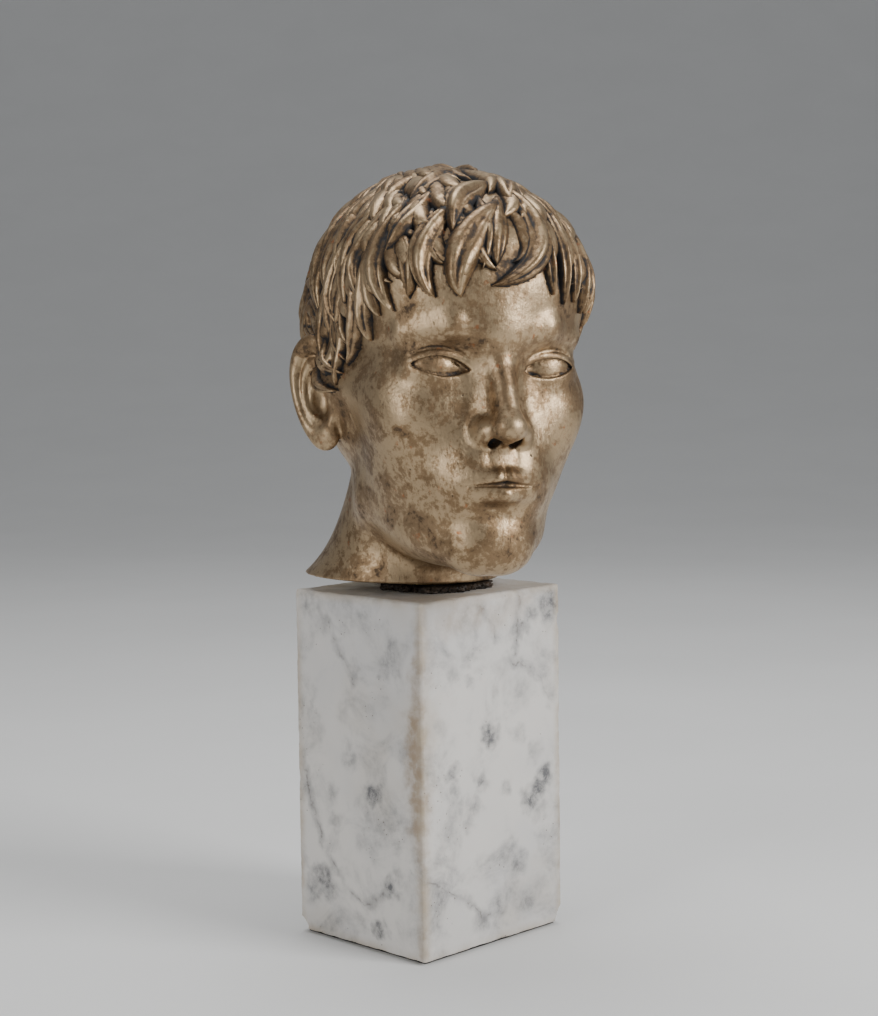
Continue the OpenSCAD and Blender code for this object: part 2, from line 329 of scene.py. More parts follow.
def hairline(angle):
    """How far down the hairline lies at each angle round the crown."""
    turn, down = round_and_down(np.array(HAIRLINE, float))
    return np.interp(np.abs(angle), turn, down)


def spines(locks):
    """The middle line of each lock, through its root, its middle and its tip."""
    root, middle, tip = (on_scalp(root_at(locks[k], locks[k + "_down"]), 4)[0][:, None]
                         for k in ("root", "middle", "tip"))
    pull = 2 * middle - (root + tip) / 2
    t = np.linspace(0, 1, LOCK_ROWS)[None, :, None]
    return on_scalp((1 - t) ** 2 * root + 2 * t * (1 - t) * pull + t ** 2 * tip, 4)


def lock_mesh(locks):
    """Closed locks: pointed crescents, ridged along their length. Returns the points, the faces and
    how deep each point lies in a groove, from 0 to 1."""
    line, normals = spines(locks)
    count = len(line)
    s = np.linspace(0, 1, LOCK_ROWS)[None, :, None]
    t = np.linspace(-1, 1, LOCK_ACROSS)[None, None]
    along = unit(np.gradient(line, axis=1))
    across = unit(np.cross(normals, along))
    wide = (0.25 + 0.75 * np.clip(s / 0.38, 0, 1) ** 0.7) * np.clip(1 - s ** 2.6, 0, 1) ** 0.85 + 0.02
    half = locks["width"][:, None, None] / 2 * wide * t
    foot, up = on_scalp(line[:, :, None] + across[:, :, None] * half[..., None], 1)
    dome = np.clip(1 - np.abs(t) ** 2.2, 0, 1) ** 0.62
    wave = np.pi * locks["strands"][:, None, None] / 2 * (t + 1) + locks["phase"][:, None, None] + 0.7 * s
    deep = (1 - np.abs(np.sin(wave))) ** 1.6 * dome ** 0.6 * np.clip((s - 0.06) / 0.2, 0, 1)
    deep = deep * np.clip((1 - s) / 0.2, 0, 1)
    rise = 0.42 + 0.58 * np.clip(s / 0.55, 0, 1) ** 0.9
    tip = np.clip((1 - s) / 0.30, 0, 1) ** 0.55
    lift = locks["height"][:, None, None] * rise * (0.30 + 0.70 * tip)
    high = lift * dome - locks["height"][:, None, None] * 0.34 * deep * tip - 3.4 * (1 - dome) + 0.2
    points = foot + up * high[..., None]
    under = foot[:, :, [0, -1]] - up[:, :, [0, -1]] * 4
    hollow = np.maximum(deep, (1 - dome) ** 0.9)
    hollow = np.clip(np.maximum(hollow, np.clip(1 - s / 0.2, 0, 1) * 0.7), 0, 1)
    block = np.concatenate([points.reshape(count, -1, 3), under.reshape(count, -1, 3)], 1)
    depth = np.concatenate([hollow.reshape(count, -1), np.ones((count, LOCK_ROWS * 2))], 1)
    faces, top = [], LOCK_ROWS * LOCK_ACROSS
    for i in range(LOCK_ROWS - 1):
        left, right, low = i * LOCK_ACROSS, (i + 1) * LOCK_ACROSS - 1, top + 2 * i
        faces += [(a, a + LOCK_ACROSS, a + LOCK_ACROSS + 1, a + 1) for a in range(left, right)]
        faces.append((left, low, low + 2, left + LOCK_ACROSS))
        faces.append((right, right + LOCK_ACROSS, low + 3, low + 1))
        faces.append((low, low + 1, low + 3, low + 2))
    last = top - LOCK_ACROSS
    faces.append((top + 1, top) + tuple(range(LOCK_ACROSS)))
    faces.append((top + 2 * LOCK_ROWS - 2, top + 2 * LOCK_ROWS - 1) + tuple(range(top - 1, last - 1, -1)))
    size = block.shape[1]
    every = [tuple(v + k * size for v in f) for k in range(count) for f in faces]
    return block.reshape(-1, 3), every, depth.reshape(-1)


FRINGE_SIDES = 68                         # the fringe's own locks fill the front to this angle
FRINGE_UP = 58                            # and up to this many degrees above the hairline
# The locks of the fringe: the angle round the crown and the rise above the hairline at the root, at the
# middle and at the tip, then the width and the height
FRINGE = [(22, 70, 24, 52, 32, 38, 22, 5.0), (38, 68, 42, 50, 44, 36, 20, 4.8),
          (54, 66, 57, 50, 58, 36, 19, 4.8), (70, 64, 71, 48, 72, 34, 18, 4.6),
          (26, 46, 24, 32, 26, 16, 17, 6.0), (36, 46, 36, 32, 35, 16, 16, 5.8),
          (2, 30, -3, 14, -4, 5, 18, 5.6), (-6, 30, -5, 16, -9, 4, 15, 5.0),
          (47, 46, 47, 30, 46, 16, 15, 5.6), (58, 46, 58, 30, 58, 15, 15, 5.4),
          (17, 30, 16, 12, 19, -2, 13, 6.6), (24, 34, 23, 13, 25, -4, 12, 6.8),
          (30, 30, 29, 12, 31, -2, 12, 6.4), (36, 34, 35, 13, 38, -4, 12, 6.6),
          (43, 30, 42, 12, 44, -2, 12, 6.2), (49, 34, 48, 13, 51, -4, 12, 6.2),
          (56, 30, 55, 12, 57, -2, 12, 6.0), (62, 34, 61, 13, 64, -3, 12, 5.8),
          (69, 32, 68, 12, 70, -1, 12, 5.6), (-20, 64, -37, 54, -44, 38, 25, 5.6),
          (2, 66, -20, 48, -31, 33, 23, 7.0), (-40, 62, -58, 54, -68, 38, 25, 5.0),
          (-62, 62, -76, 54, -86, 40, 24, 4.8), (20, 56, 12, 42, 6, 28, 23, 7.2),
          (2, 40, -12, 30, -17, 15, 24, 8.4), (-22, 36, -32, 23, -40, 13, 19, 7.6),
          (-36, 46, -56, 36, -66, 22, 23, 6.6), (-52, 40, -70, 34, -84, 22, 22, 5.2),
          (-34, 20, -33, 8, -35, -1, 16, 6.0), (12, 24, 11, 10, 10, 2, 13, 5.2),
          (-50, 22, -51, 8, -49, -3, 16, 6.0), (-48, 20, -57, 5, -59, -8, 18, 7.0),
          (-60, 18, -67, 5, -77, -1, 17, 6.4), (-60, 28, -72, 20, -80, 8, 18, 5.6),
          (-42, 32, -54, 22, -57, 9, 18, 7.8), (-31, 34, -44, 14, -42, -4, 20, 8.6),
          (-80, 46, -93, 38, -104, 26, 23, 5.2), (-96, 40, -107, 30, -117, 17, 23, 5.2),
          (-76, 36, -86, 24, -95, 11, 22, 5.6), (-88, 33, -98, 21, -106, 9, 22, 5.4),
          (-100, 30, -109, 18, -117, 6, 21, 5.2), (-70, 24, -78, 12, -86, 1, 19, 5.4),
          (-80, 23, -88, 11, -94, 1, 19, 5.2), (-89, 22, -96, 10, -101, 0, 19, 5.2),
          (-97, 21, -103, 10, -108, 0, 18, 5.0), (-15, 26, -28, 11, -26, -3, 20, 8.8),
          (0, 26, -15, 9, -17, -4, 25, 9.4), (7, 36, 12, 11, -6, -1, 21, 10.2)]
# The rings of the rest of the hair: tips' rise above the hairline, reach, width, height
RINGS = [(-1, 27, 15, 5.0), (12, 31, 17, 5.6), (26, 36, 19, 5.8), (42, 40, 22, 5.6), (59, 43, 25, 5.6),
         (77, 44, 27, 5.6), (96, 42, 27, 5.4)]
UNDER_FRINGE = 0.8                        # height of the locks that the fringe lies on
WHORL = (12, 31, 30, 24, 5.2)             # locks, tips' angle down, swing round, width, height
SWEPT_AT = (-172, -100, -50, -30)         # angles on the side where the hair is swept back
SWEPT_BY = (0, 19, 19, 0)                 # and how far, in degrees


def fringe_locks():
    f = np.array(FRINGE, float)
    rng = np.random.default_rng(9)
    return {"root": f[:, 0], "root_down": hairline(f[:, 0]) - f[:, 1], "middle": f[:, 2],
            "middle_down": hairline(f[:, 2]) - f[:, 3], "tip": f[:, 4],
            "tip_down": hairline(f[:, 4]) - f[:, 5],
            "width": f[:, 6], "height": f[:, 7], "strands": rng.choice([1.5, 2.0, 2.4], len(f)),
            "phase": rng.uniform(0.3, 0.9, len(f))}


def ring(rise, reach, width, height, seed):
    """One ring of locks whose tips lie at one rise above the hairline, lower where the fringe is."""
    rng = np.random.default_rng(seed)
    girth = 2 * math.pi * 88 * math.sin(math.radians(min(100, 125 - rise)))
    count = int(girth / (width * 0.60))
    tip = (np.arange(count) + 0.5 + rng.uniform(-0.2, 0.2, count)) * 360 / count - 180
    tip = tip[hairline(tip) - rise > 26]
    n = len(tip)
    tip_down = hairline(tip) - rise + rng.uniform(-2.5, 2.5, n)
    size = np.where((np.abs(tip) < 125) & (np.abs(tip) > 66) & (rise < 8), 0.8, 1.0)
    front = (np.abs(tip) < FRINGE_SIDES) & (rise < FRINGE_UP)
    swing = np.where(np.abs(tip) < 140, np.sign(tip) * rng.uniform(0, 8, n), rng.uniform(-8, 8, n))
    swing = swing + np.interp(tip, SWEPT_AT, SWEPT_BY) * (rise > 8)
    bow = np.where(np.abs(tip) < 140, np.sign(tip), rng.choice([-1, 1], n)) * rng.uniform(2, 7, n)
    root_down = np.maximum(tip_down - reach * size * rng.uniform(0.9, 1.2, n), 6)
    spread = np.clip(np.sin(np.radians(tip_down)), 0.35, 1)
    root = tip + swing / spread
    return {"root": root, "root_down": root_down, "middle": (root + tip) / 2 + bow / spread,
            "middle_down": (root_down + tip_down) / 2, "tip": tip, "tip_down": tip_down - 6.0 * front,
            "width": width * size * rng.uniform(0.85, 1.3, n),
            "height": height * rng.uniform(0.8, 1.25, n) * np.where(front, UNDER_FRINGE, 1),
            "strands": np.where(front, 0, width / 8 * rng.uniform(0.8, 1.3, n)),
            "phase": np.where(front, math.pi / 2, rng.uniform(0, 3, n))}


def whorl():
    """The locks that turn round the crown."""
    count, down, swing, width, height = WHORL
    rng = np.random.default_rng(3)
    root = np.arange(count) * 360 / count + rng.uniform(-6, 6, count)
    flat = np.ones(count)
    return {"root": root, "root_down": 3 * flat, "middle": root + swing * 0.2, "middle_down": down / 2 * flat,
            "tip": root + swing, "tip_down": down * rng.uniform(0.85, 1.2, count), "width": width * flat,
            "height": height * flat, "strands": 2.0 * flat, "phase": rng.uniform(0, 3, count)}


def hair_piece(name, tiers):
    locks = {key: np.concatenate([t[key] for t in tiers]) for key in tiers[0]}
    points, faces, depth = lock_mesh(locks)
    return piece(name, placed(points), faces), depth


# ---------------------------------------------------------------- how open each point of the metal is
def openness(meshes, reach=0.012, rays=12):
    """For each mesh, how much of the space over each point is open, from 0 to 1."""
    points, faces, base = [], [], 0
    for o in meshes:
        co = np.empty(len(o.data.vertices) * 3, np.float32)
        o.data.vertices.foreach_get("co", co)
        points.append(co.reshape(-1, 3))
        faces += [tuple(v + base for v in f.vertices) for f in o.data.polygons]
        base += len(points[-1])
    tree = BVHTree.FromPolygons(np.concatenate(points).tolist(), faces)
    rng = np.random.default_rng(5)
    ways = unit(rng.normal(size=(rays, 3)))
    found = []
    for o, own in zip(meshes, points):
        normals = np.empty(len(own) * 3, np.float32)
        o.data.vertex_normals.foreach_get("vector", normals)
        normals = normals.reshape(-1, 3)
        total = np.zeros(len(own), np.float32)
        for way in ways:
            out = unit(normals * 1.05 + way)
            start = own + normals * 0.00025
            for i in range(len(own)):
                hit = tree.ray_cast(Vector(start[i]), Vector(out[i]), reach)
                total[i] += 1 if hit[3] is None else hit[3] / reach
        found.append(total / rays)
    return found


def set_value(o, name, values):
    made = o.data.attributes.new(name, "FLOAT", "POINT")
    made.data.foreach_set("value", np.asarray(values, np.float32))


# ---------------------------------------------------------------- tools for modelling by hand
def only(o):
    bpy.ops.object.select_all(action="DESELECT")
    o.select_set(True)
    bpy.context.view_layer.objects.active = o


def in_place(o):
    only(o)
    bpy.ops.object.transform_apply(location=True, rotation=True, scale=True)


def finish_with(o, kind, **settings):
    only(o)
    made = o.modifiers.new(kind.title(), kind)
    for key, value in settings.items():
        setattr(made, key, value)
    bpy.ops.object.modifier_apply(modifier=made.name)


def box_piece(name, low, high):
    bpy.ops.object.select_all(action="DESELECT")
    bpy.ops.mesh.primitive_cube_add(size=1, location=(low + high) / 2)
    made = bpy.context.object
    made.name = name
    made.scale = high - low
    in_place(made)
    return made


def cut_away(o, tool):
    finish_with(o, "BOOLEAN", operation="DIFFERENCE", solver="EXACT", object=tool)
    bpy.data.objects.remove(tool)


def drill(o, radius, low, high):
    bpy.ops.object.select_all(action="DESELECT")
    bpy.ops.mesh.primitive_cylinder_add(vertices=96, radius=radius, depth=high - low,
                                        location=(0, 0, (low + high) / 2))
    cut_away(o, bpy.context.object)


def vertex_places(o):
    co = np.empty(len(o.data.vertices) * 3, np.float32)
    o.data.vertices.foreach_get("co", co)
    return co.reshape(-1, 3).astype(float)


def set_places(o, co):
    o.data.vertices.foreach_set("co", np.asarray(co, np.float32).ravel())
    o.data.update()


def ripple(p, size, seed):
    """Smooth noise from -1 to 1, from a few crossed waves of about one size."""
    rng = np.random.default_rng(seed)
    total = np.zeros(len(p))
    for _ in range(7):
        way = unit(rng.normal(size=3)) * 2 * math.pi / size * rng.uniform(0.6, 1.6)
        total += np.sin(p @ way + rng.uniform(0, 6.3))
    return total / 3.2


# ---------------------------------------------------------------- marble block
EDGE_ROUND = 0.5 * MM
REST_LEVEL = FELT_HIGH.z
RECESS_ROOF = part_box("fibre_washer")[1].z
RECESS_RADIUS = WASHER_HIGH.x + 4 * MM
BORE_RADIUS = ROD_HIGH.x + 1 * MM
# Chips out of the edges: the middle of each, its radius and how its tool is stretched upwards
CHIPS = [((41.6, -37.4, 126), 3.7, 1.5), ((42.0, -37.8, 1.0), 6.2, 1.3), ((-42.6, 38.6, 0), 8.4, 0.9),
         ((-41.4, -36.9, 84), 1.9, 3.4), ((12, -37.2, 141.6), 1.9, 0.7), ((-41.3, 20, 141.4), 1.8, 0.7),
         ((41.2, 37.0, 60), 2.6, 2.0), ((41.4, 8, 0.8), 2.4, 0.7)]


def marble_block():
    block = box_piece("worn_marble_block", BLOCK_LOW, BLOCK_HIGH)
    finish_with(block, "BEVEL", width=EDGE_ROUND, segments=2)
    for at, radius, tall in CHIPS:
        bpy.ops.object.select_all(action="DESELECT")
        bpy.ops.mesh.primitive_ico_sphere_add(subdivisions=2, radius=radius * MM,
                                              location=[c * MM for c in at])
        tool = bpy.context.object
        tool.scale = (1, 1, tall)
        in_place(tool)
        cut_away(block, tool)
    drill(block, BORE_RADIUS, REST_LEVEL - 0.01, BLOCK_HIGH.z + 0.01)
    drill(block, RECESS_RADIUS, REST_LEVEL - 0.01, RECESS_ROOF)
    finish_with(block, "REMESH", mode="VOXEL", voxel_size=0.8 * MM, use_smooth_shade=True)
    p = vertex_places(block)
    middle = np.array((BLOCK_LOW + BLOCK_HIGH) / 2)
    half = np.array(BLOCK_HIGH - BLOCK_LOW) / 2
    depth = np.sort(half - np.abs(p - middle), axis=1)
    edge = np.clip(1 - depth[:, 1] / (2.6 * MM), 0, 1)
    wear = 0.26 * MM * edge * (0.4 + ripple(p, 9 * MM, 3) + 0.7 * ripple(p, 3.5 * MM, 4))
    p += unit(middle - p) * np.clip(wear, 0, None)[:, None]
    set_places(block, p)
    return block


# ---------------------------------------------------------------- rough filler under the rim
def neck_filler():
    """A ring of crumbling filler between the spacer and the rim, pressed out unevenly."""
    low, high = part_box("neck_filler")
    inner = SPACER_HIGH.x
    rows, sides = 120, 18
    a = np.repeat(np.arange(rows) * 2 * math.pi / rows, sides)
    b = np.tile(np.arange(sides) * 2 * math.pi / sides, rows)
    front = HEAD_TURN - math.pi / 2
    reach = 0.66 + 0.21 * np.cos(a - front - 0.35) + 0.05 * np.sin(5 * a) + 0.04 * np.sin(11 * a + 2)
    middle, half = (inner + high.x * reach) / 2, (high.x * reach - inner) / 2
    out = middle + half * np.sign(np.cos(b)) * np.abs(np.cos(b)) ** 0.6
    up = (low.z + high.z) / 2 + (high.z - low.z) / 2 * np.sign(np.sin(b)) * np.abs(np.sin(b)) ** 0.6 * 0.96
    points = np.stack([out * np.cos(a), out * np.sin(a), up], 1)
    faces = [(i * sides + j, (i + 1) % rows * sides + j, (i + 1) % rows * sides + (j + 1) % sides,
              i * sides + (j + 1) % sides) for i in range(rows) for j in range(sides)]
    made = piece("rough_neck_filler", points, faces)
    finish_with(made, "SUBSURF", levels=2, render_levels=2)
    p = vertex_places(made)
    level = unit(p * np.array([1, 1, 0]))
    lumps = ripple(p, 4 * MM, 11) + 0.8 * ripple(p, 1.9 * MM, 12) + 0.5 * ripple(p, 0.9 * MM, 13)
    edge = np.clip((np.linalg.norm(p[:, :2], axis=1) - inner) / (4 * MM), 0, 1)
    p += level * (edge * lumps * 0.85 * MM)[:, None]
    p[:, 2] = np.clip(p[:, 2] + edge * ripple(p, 1.5 * MM, 14) * 0.3 * MM, low.z, high.z)
    set_places(made, p)
    return made


# ---------------------------------------------------------------- materials
class Paint:
    """A short way to write a node tree."""

    def __init__(self, name):
        self.material = bpy.data.materials.new(name)
        self.material.use_nodes = True
        self.tree = self.material.node_tree
        self.shader = self.tree.nodes["Principled BSDF"]

    def node(self, kind, inputs=(), **settings):
        made = self.tree.nodes.new("ShaderNode" + kind)
        for key, value in settings.items():
            setattr(made, key, value)
        for key, value in dict(inputs).items():
            self.put(made.inputs[key], value)
        return made

    def put(self, socket, value):
        if isinstance(value, bpy.types.NodeSocket):
            self.tree.links.new(value, socket)
        else:
            socket.default_value = value

    def places(self, stretch=(1, 1, 1)):
        if not hasattr(self, "source"):
            self.source = self.node("TexCoord").outputs["Object"]
        if stretch == (1, 1, 1):
            return self.source
        return self.node("Mapping", {"Vector": self.source, "Scale": stretch}).outputs["Vector"]

    def noise(self, scale, detail=3.0, rough=0.55, bend=0.0, stretch=(1, 1, 1)):
        made = self.node("TexNoise", {"Vector": self.places(stretch), "Scale": scale, "Detail": detail,
                                      "Roughness": rough, "Distortion": bend})
        return made.outputs["Fac"]

    def spread(self, value, low, high, to_low=0.0, to_high=1.0):
        made = self.node("MapRange", {"Value": value, "From Min": low, "From Max": high,
                                      "To Min": to_low, "To Max": to_high},
                         interpolation_type="SMOOTHSTEP")
        return made.outputs["Result"]

    def sum(self, kind, a, b):
        made = self.node("Math", operation=kind)
        self.put(made.inputs[0], a)
        self.put(made.inputs[1], b)
        return made.outputs[0]

    def mix(self, share, a, b):
        made = self.node("Mix", data_type="RGBA")
        self.put(made.inputs["Factor"], share)
        for socket, value in zip((made.inputs[6], made.inputs[7]), (a, b)):
            self.put(socket, (*value, 1) if isinstance(value, tuple) else value)
        return made.outputs[2]

    def read(self, name):
        return self.node("Attribute", attribute_name=name).outputs["Fac"]

    def bump(self, height, distance, strength=1.0, under=None):
        made = self.node("Bump", {"Height": height, "Distance": distance, "Strength": strength})
        if under is not None:
            self.put(made.inputs["Normal"], under)
        return made.outputs["Normal"]

    def set(self, **values):
        for key, value in values.items():
            self.put(self.shader.inputs[key.replace("_", " ")], value)
        return self.material


def aged_bronze():
    """Brown-gold metal, nearly black in the hollows, pitted and scratched."""
    m = Paint("aged_bronze")
    hollow = m.read("hollow")
    dark = m.sum("ADD", hollow, m.spread(m.noise(70, 6, 0.66, 0.4), 0.38, 0.74, -0.20, 0.30))
    dark = m.sum("ADD", dark, m.spread(m.noise(420, 5, 0.7), 0.3, 0.75, -0.14, 0.18))
    tone = m.mix(m.spread(m.noise(24, 4), 0.35, 0.68), (0.200, 0.128, 0.067), (0.27, 0.182, 0.103))
    tone = m.mix(m.spread(dark, -0.18, 0.08, 0.75, 0.0), tone, (0.46, 0.34, 0.205))
    tone = m.mix(m.spread(dark, 0.12, 0.36), tone, (0.082, 0.053, 0.031))
    tone = m.mix(m.spread(dark, 0.32, 0.60), tone, (0.009, 0.009, 0.0105))
    tone = m.mix(m.spread(m.noise(170, 4, 0.65), 0.64, 0.72, 0.0, 0.8), tone, (0.30, 0.115, 0.045))
    cells = m.sum("ADD", m.node("TexVoronoi", {"Vector": m.places(), "Scale": 260.0}).outputs["Distance"],
                  m.spread(m.noise(800, 2), 0.2, 0.8, -0.05, 0.14))
    pit = m.sum("MULTIPLY", m.spread(cells, 0.06, 0.17, 1.0, 0.0), m.spread(m.noise(75, 3), 0.56, 0.66))
    tone = m.mix(pit, tone, (0.012, 0.010, 0.009))
    filed = m.noise(1, 3, 0.62, 0.5, (2400, 900, 260))
    scrape = m.sum("MULTIPLY", m.spread(filed, 0.60, 0.68), m.spread(m.noise(38, 2), 0.46, 0.60))
    tone = m.mix(m.sum("MULTIPLY", scrape, 0.55), tone, (0.045, 0.030, 0.019))
    relief = m.bump(filed, 0.00008, 0.5)
    relief = m.bump(m.noise(700, 5, 0.65), 0.00022, 0.6, relief)
    relief = m.bump(m.noise(150, 4, 0.55), 0.0007, 0.5, relief)
    relief = m.bump(m.spread(pit, 0, 1, 1, 0), 0.0003, 0.9, relief)
    gloss = m.sum("ADD", m.spread(dark, -0.1, 0.6, 0.36, 0.68), m.spread(filed, 0.3, 0.7, -0.05, 0.09))
    return m.set(Base_Color=tone, Metallic=m.spread(dark, 0.22, 0.6, 0.85, 0.10), Roughness=gloss,
                 Normal=relief)


# Grey clouds in the stone, in mm: the middle of each, its radius and how dark it is
CLOUDS = [((-40, 4, 75), 3.6, 0.45), ((-40, -9, 63), 4.6, 0.95), ((-40, -6, 54), 4.4, 0.4),
          ((-40, 16, 60), 3.2, 0.45), ((-40, 14, 50), 3.6, 0.4), ((-40, -2, 43), 3.6, 0.35),
          ((-40, 22, 24), 5.4, 0.9), ((-40, 27, 19), 5.2, 0.6), ((-40, 17, 20), 4.6, 0.55),
          ((-40, -17, 27), 4.0, 0.95), ((-40, -22, 33), 3.4, 0.45), ((-40, -11, 10), 3.2, 0.85),
          ((-40, -15, 112), 2.8, 0.45), ((-40, 0, 112), 3, 0.35), ((-40, 20, 128), 4, 0.3),
          ((-40, 8, 94), 3, 0.3), ((-40, 24, 84), 3.4, 0.3), ((-40, -26, 82), 4.6, 0.4),
          ((-14, -36, 118), 3.4, 0.45), ((-22, -36, 112), 3.8, 0.4), ((-13, -36, 108), 2.6, 0.35),
          ((-3, -36, 85), 4.6, 0.9), ((14, -36, 83), 3.6, 0.45), ((-24, -36, 72), 3.4, 0.6),
          ((-23, -36, 66), 2.8, 0.45), ((-8, -36, 67), 3.6, 0.7), ((-12, -36, 58), 3.8, 0.55),
          ((-20, -36, 60), 3.6, 0.35), ((7, -36, 62), 3, 0.4), ((-15, -36, 52), 3.6, 0.35),
          ((31, -36, 63), 4.2, 1.0), ((27, -36, 59), 4.4, 0.95), ((21, -36, 55), 4.6, 0.95),
          ((27, -36, 50), 4, 0.4), ((24, -36, 74), 4, 0.35), ((16, -36, 100), 5, 0.35),
          ((13, -36, 30), 4.2, 0.6), ((2, -36, 16), 4.4, 0.55), ((10, -36, 20), 3.6, 0.4),
          ((18, -36, 14), 6, 0.55), ((26, -36, 18), 5, 0.3), ((-8, -36, 11), 4, 0.5),
          ((22, -36, 130), 4.4, 0.55), ((34, -36, 133), 7, 0.8), ((14, -36, 124), 4, 0.45),
          ((34, -36, 100), 4, 0.3), ((8, -36, 112), 3.6, 0.3), ((-30, -36, 92), 3.6, 0.3),
          ((40, 10, 100), 6, 0.7), ((40, -12, 56), 5.4, 0.9), ((40, 22, 34), 5, 0.7),
          ((40, 2, 20), 4, 0.5), ((40, -20, 112), 4, 0.5), ((14, 36, 84), 5.6, 0.8),
          ((-18, 36, 46), 5, 0.7), ((22, 36, 28), 5, 0.6), ((-10, 36, 112), 4.6, 0.5),
          ((-24, 36, 90), 4, 0.4), ((24, 20, 141), 7, 0.4), ((-20, -18, 141), 6, 0.3)]
# Thin dark veins, in mm: the points that each runs through
VEINS = [[(-38, -36, 33), (-28, -36, 27), (-18, -36, 23), (-9, -36, 14), (5, -36, 12)],
         [(-8, -36, 138), (-1, -36, 128), (3, -36, 122)],
         [(16, -36, 139), (15, -36, 124), (11, -36, 112), (20, -36, 110), (28, -36, 104), (34, -36, 92)],
         [(13, -36, 127), (21, -36, 124)],
         [(-40, 33, 74), (-40, 29, 58), (-40, 22, 38), (-40, 8, 22), (-40, -4, 18), (-40, -14, 24)],
         [(-40, 22, 138), (-40, 10, 118), (-40, 2, 108)],
         [(40, -30, 90), (40, -8, 74), (40, 12, 66), (40, 30, 44)],
         [(40, -4, 134), (40, 16, 118), (40, 34, 112)],
         [(34, 36, 98), (12, 36, 70), (-8, 36, 62), (-30, 36, 30)], [(-34, 36, 124), (-6, 36, 132)]]
# Brown stains, in mm: from, to, reach and strength
STAINS = [((-41, -31.5, 54), (-41, -31.5, 96), 7.4, 1.0), ((-41, -33, 44), (-41, -33, 116), 6, 0.65),
          ((-41, -35, 4), (-41, -35, 138), 5, 0.6),
          ((-26, -36, 133), (-8, -36, 136), 11, 0.5), ((2, -36, 130), (20, -36, 138), 8, 0.42),
          ((-36, -36, 60), (-36, -36, 138), 5, 0.22), ((41, -36, 16), (41, -36, 90), 4, 0.5),
          ((-41, 36, 20), (-41, 36, 120), 4, 0.4), ((41, 36, 30), (41, 36, 120), 4, 0.4)]


def from_line(m, place, start, end):
    """The distance of each place from a straight line between two points, in metres."""
    a, b = Vector(start) * MM, Vector(end) * MM
    out = m.node("VectorMath", {0: place, 1: a}, operation="SUBTRACT").outputs[0]
    along = m.node("VectorMath", {0: out, 1: (b - a) / (b - a).length_squared}, operation="DOT_PRODUCT")
    share = m.node("Clamp", {"Value": along.outputs["Value"]}).outputs[0]
    foot = m.node("VectorMath", {0: b - a, "Scale": share}, operation="SCALE").outputs[0]
    return m.node("VectorMath", {0: out, 1: foot}, operation="DISTANCE").outputs["Value"]


def wandering(m, scale, reach):
    """Places shifted a little to and fro, so that a pattern on them loses its straight lines."""
    swirl = m.node("TexNoise", {"Vector": m.places(), "Scale": scale, "Detail": 4.0}).outputs["Color"]
    shift = m.node("VectorMath", {0: swirl, 1: (0.5, 0.5, 0.5)}, operation="SUBTRACT").outputs[0]
    shift = m.node("VectorMath", {0: shift, "Scale": reach}, operation="SCALE").outputs[0]
    return m.node("VectorMath", {0: m.places(), 1: shift}, operation="ADD").outputs[0]


